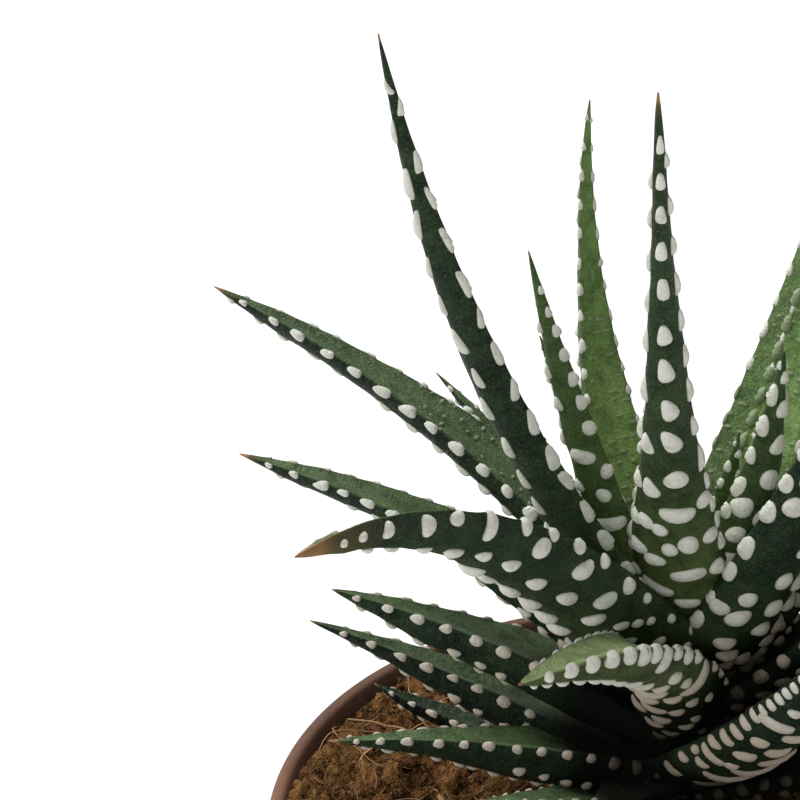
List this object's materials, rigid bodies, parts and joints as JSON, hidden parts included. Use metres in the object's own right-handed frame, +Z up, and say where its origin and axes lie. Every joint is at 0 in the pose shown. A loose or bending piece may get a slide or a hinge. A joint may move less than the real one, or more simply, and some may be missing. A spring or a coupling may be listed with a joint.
{
  "type": "potted haworthia",
  "caption": "Succulent rosette of long pointed dark leaves with raised white warts, on a short stem in a soil-filled round nursery pot.",
  "frame": {"origin": "centre of the pot's flat underside", "axes": "+Z up along the pot's axis; -Y is the side seen in the picture, +X to its right"},
  "size_m": [0.111, 0.1078, 0.1886],
  "materials": {
    "pot_plastic": "matt terracotta-coloured plastic",
    "coir": "crumbly red-brown coir and peat with straw-coloured fibres",
    "stem_skin": "dull brown-green, hidden among the leaf bases",
    "leaf_skin": "satin dark green with raised off-white warts"
  },
  "bodies": {
    "root": {"pot": "pot_plastic", "soil": "coir", "stem": "stem_skin", "leaf_01": "leaf_skin", "leaf_02": "leaf_skin", "leaf_03": "leaf_skin", "leaf_04": "leaf_skin", "leaf_05": "leaf_skin", "leaf_06": "leaf_skin", "leaf_07": "leaf_skin", "leaf_08": "leaf_skin", "leaf_09": "leaf_skin", "leaf_10": "leaf_skin", "leaf_11": "leaf_skin", "leaf_12": "leaf_skin", "leaf_13": "leaf_skin", "leaf_14": "leaf_skin", "leaf_15": "leaf_skin", "leaf_16": "leaf_skin", "leaf_17": "leaf_skin", "leaf_18": "leaf_skin", "leaf_19": "leaf_skin", "leaf_20": "leaf_skin", "leaf_21": "leaf_skin", "leaf_22": "leaf_skin", "leaf_23": "leaf_skin", "leaf_24": "leaf_skin", "leaf_25": "leaf_skin", "leaf_26": "leaf_skin", "leaf_27": "leaf_skin", "leaf_28": "leaf_skin", "leaf_29": "leaf_skin", "leaf_30": "leaf_skin", "leaf_31": "leaf_skin", "leaf_32": "leaf_skin", "leaf_33": "leaf_skin", "leaf_34": "leaf_skin", "leaf_35": "leaf_skin", "leaf_36": "leaf_skin", "leaf_37": "leaf_skin", "leaf_38": "leaf_skin"}
  },
  "joints": []
}
